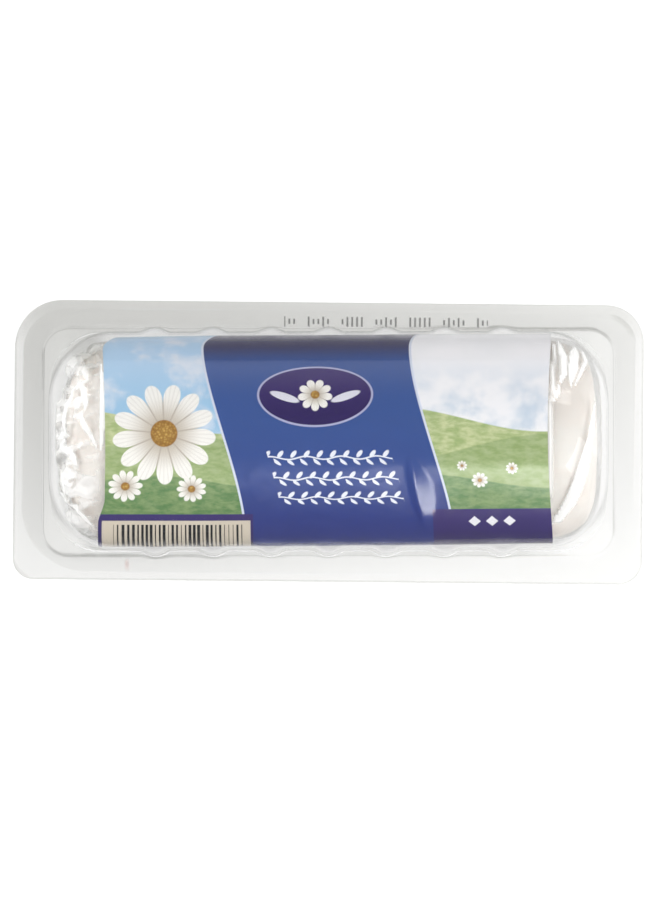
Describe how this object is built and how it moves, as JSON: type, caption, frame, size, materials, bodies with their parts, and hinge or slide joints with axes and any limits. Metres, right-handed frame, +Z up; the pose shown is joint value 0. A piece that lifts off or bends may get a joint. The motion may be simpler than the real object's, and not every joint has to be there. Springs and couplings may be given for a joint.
{
  "type": "packed goat cheese log",
  "caption": "Soft goat cheese log in crumpled clear wrap under an arched paper label, sealed in a clear ribbed blister on a flat backing film.",
  "frame": {"origin": "middle of the pack's footprint, on the underside of the backing film", "axes": "+X along the log, +Y across it towards the label's upper edge, +Z up through the blister's crown"},
  "size_m": [0.126, 0.056, 0.0345],
  "materials": {
    "backing_film": "clear flat lidding film",
    "clear_blister": "clear thermoformed sheet, glossy",
    "wrapped_cheese": "soft white cheese under thin glossy crumpled wrap",
    "printed_label": "glossy coated paper with printed fields of colour"
  },
  "bodies": {
    "root": {"backing_film": "backing_film", "blister": "clear_blister", "wrapped_log": "wrapped_cheese", "label": "printed_label"}
  },
  "joints": []
}
